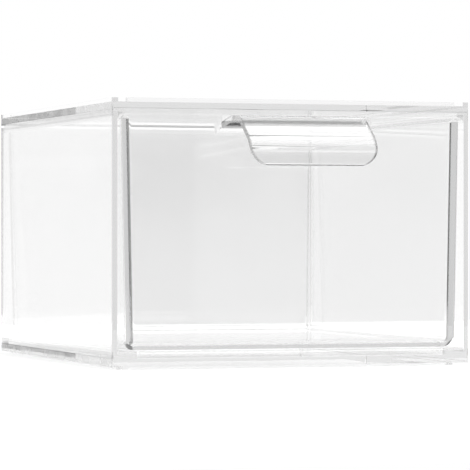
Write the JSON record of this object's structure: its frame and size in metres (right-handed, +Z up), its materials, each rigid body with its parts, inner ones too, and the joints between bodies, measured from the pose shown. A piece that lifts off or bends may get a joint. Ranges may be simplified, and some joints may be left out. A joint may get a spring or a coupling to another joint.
{
  "type": "stackable drawer box",
  "caption": "Clear stackable drawer box: an open-fronted case with a nesting rim and foot ring, and one sliding tray drawer with a moulded finger pull.",
  "frame": {"origin": "middle of the whole footprint, pull included, on the surface that the foot ring stands on", "axes": "+Z up, +Y towards the back, +X to the right seen from the front; the drawer opens towards -Y"},
  "size_m": [0.162, 0.224, 0.115],
  "materials": {
    "case_plastic": "clear, polished",
    "drawer_plastic": "clear, polished"
  },
  "bodies": {
    "case": {"top_cover": "case_plastic", "left_wall": "case_plastic", "right_wall": "case_plastic", "back_wall": "case_plastic", "base": "case_plastic"},
    "drawer": {"drawer": "drawer_plastic"}
  },
  "joints": [
    {"name": "drawer_slide", "type": "slide", "parent": "case", "child": "drawer", "axis": [0, -1, 0], "range_m": [0, 0.15]}
  ]
}
